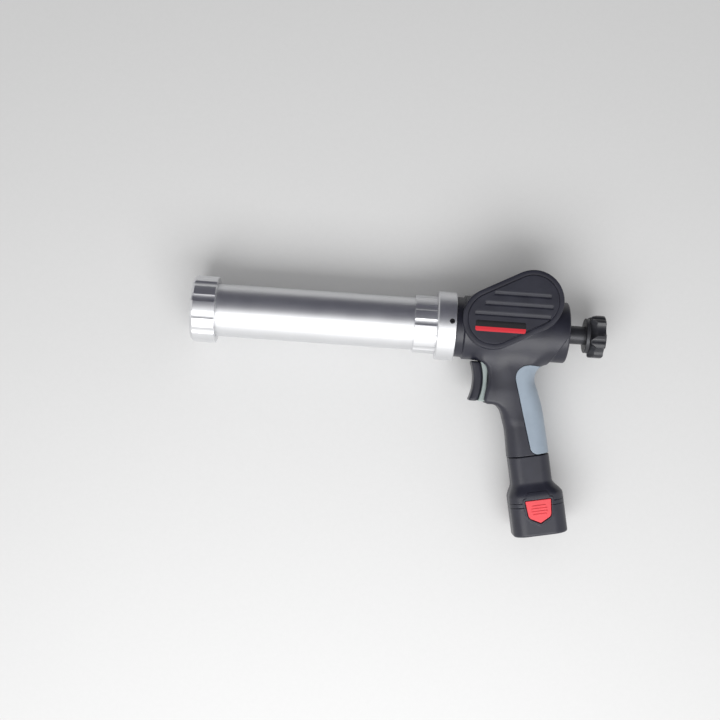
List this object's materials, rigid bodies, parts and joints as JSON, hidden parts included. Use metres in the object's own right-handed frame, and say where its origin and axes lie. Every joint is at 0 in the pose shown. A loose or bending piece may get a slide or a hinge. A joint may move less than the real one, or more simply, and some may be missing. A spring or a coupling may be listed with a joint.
{
  "type": "cordless caulking tool",
  "caption": "Battery caulking gun with an aluminium barrel and screw cap, a rack-driven push rod with a pull knob, a pistol handle with a trigger and a slide-out battery.",
  "frame": {"origin": "barrel axis at the front face of the screw cap, in the nozzle opening", "axes": "+X along the barrel from the nozzle to the pull knob, -Y down the handle to the battery, +Z to the tool's left side"},
  "size_m": [0.4262, 0.2743, 0.074],
  "materials": {
    "satin_aluminium": "fine satin, clear anodised",
    "black_plastic": "fine matte moulding",
    "grip_rubber": "soft matte",
    "pale_inlay": "soft matte",
    "black_anodised": "black anodised, semi-gloss",
    "gloss_black": "gloss",
    "plunger_plastic": "matte",
    "red_plastic": "semi-matte",
    "black_screw": "black oxide",
    "plain_steel": "plain",
    "bush_brass": "sintered",
    "switch_plastic": "matte",
    "board_green": "lacquered",
    "cell_sleeve": "shrink sleeve"
  },
  "bodies": {
    "body": {"barrel_tube": "satin_aluminium", "barrel_collar": "satin_aluminium", "mounting_ring": "satin_aluminium", "set_screws": "black_screw", "ring_screws": "plain_steel", "front_rod_bush": "bush_brass", "housing_left": "black_plastic", "housing_right": "black_plastic", "grip_insert": "grip_rubber", "rear_rod_bush": "bush_brass", "case_screws": "black_screw", "gear_cover_left": "black_plastic", "gear_cover_right": "black_plastic", "cover_posts": "plain_steel", "cover_screws": "black_screw", "compound_pin": "plain_steel", "gearbox": "plain_steel", "motor": "plain_steel", "gear_plate_left": "plain_steel", "gear_plate_right": "plain_steel", "shaft_bushes": "bush_brass", "plate_posts": "plain_steel", "trigger_switch": "switch_plastic", "circuit_board": "board_green", "terminal_block": "switch_plastic"},
    "cap": {"front_cap": "satin_aluminium"},
    "rod": {"push_rod": "black_anodised", "plunger": "plunger_plastic", "plunger_bolt": "plain_steel", "rod_flange": "black_anodised", "pull_knob": "gloss_black", "knob_bolt": "black_screw"},
    "pinion": {"rack_pinion": "plain_steel", "drive_gear": "plain_steel", "pinion_shaft": "plain_steel"},
    "compound": {"compound_gear": "plain_steel"},
    "output": {"output_gear": "plain_steel", "output_shaft": "plain_steel"},
    "trigger": {"trigger": "black_plastic", "trigger_inlay": "pale_inlay"},
    "battery": {"battery_shell": "black_plastic", "battery_base_cap": "black_plastic", "battery_cells": "cell_sleeve", "battery_contacts": "bush_brass", "button_spring_left": "plain_steel", "button_spring_right": "plain_steel", "base_screws": "black_screw"},
    "button_left": {"release_button_left": "red_plastic"},
    "button_right": {"release_button_right": "red_plastic"}
  },
  "joints": [
    {"name": "cap_turn", "type": "hinge", "parent": "body", "child": "cap", "pos_m": [0, 0, 0], "axis": [1, 0, 0], "continuous": true},
    {"name": "rod_slide", "type": "slide", "parent": "body", "child": "rod", "axis": [1, 0, 0], "range_m": [-0.012, 0.222]},
    {"name": "pinion_spin", "type": "hinge", "parent": "body", "child": "pinion", "pos_m": [0.3082, 0.018, 0], "axis": [0, 0, 1], "range_deg": [-68.7, 1271.9]},
    {"name": "compound_spin", "type": "hinge", "parent": "body", "child": "compound", "pos_m": [0.3343, 0.01521, 0], "axis": [0, 0, 1], "range_deg": [-3190, 180]},
    {"name": "output_spin", "type": "hinge", "parent": "body", "child": "output", "pos_m": [0.34718, 0.03051, 0], "axis": [0, 0, 1], "range_deg": [-410, 7430]},
    {"name": "trigger_pull", "type": "slide", "parent": "body", "child": "trigger", "axis": [1, 0, 0], "range_m": [0, 0.006], "stiffness_N_per_m": 800, "springref_m": -0.004},
    {"name": "battery_slide", "type": "slide", "parent": "body", "child": "battery", "axis": [0.1959, -0.9806, 0], "range_m": [0, 0.065]},
    {"name": "button_left_press", "type": "slide", "parent": "battery", "child": "button_left", "axis": [0, 0, -1], "range_m": [0, 0.0025], "stiffness_N_per_m": 2000, "springref_m": -0.001, "deforming": ["button_spring_left"]},
    {"name": "button_right_press", "type": "slide", "parent": "battery", "child": "button_right", "axis": [0, 0, 1], "range_m": [0, 0.0025], "stiffness_N_per_m": 2000, "springref_m": -0.001, "deforming": ["button_spring_right"]}
  ],
  "couplings": [
    {"joint": "pinion_spin", "follows": "rod_slide", "rad_per_m": 100},
    {"joint": "compound_spin", "follows": "rod_slide", "rad_per_m": -250},
    {"joint": "output_spin", "follows": "rod_slide", "rad_per_m": 583.33}
  ]
}
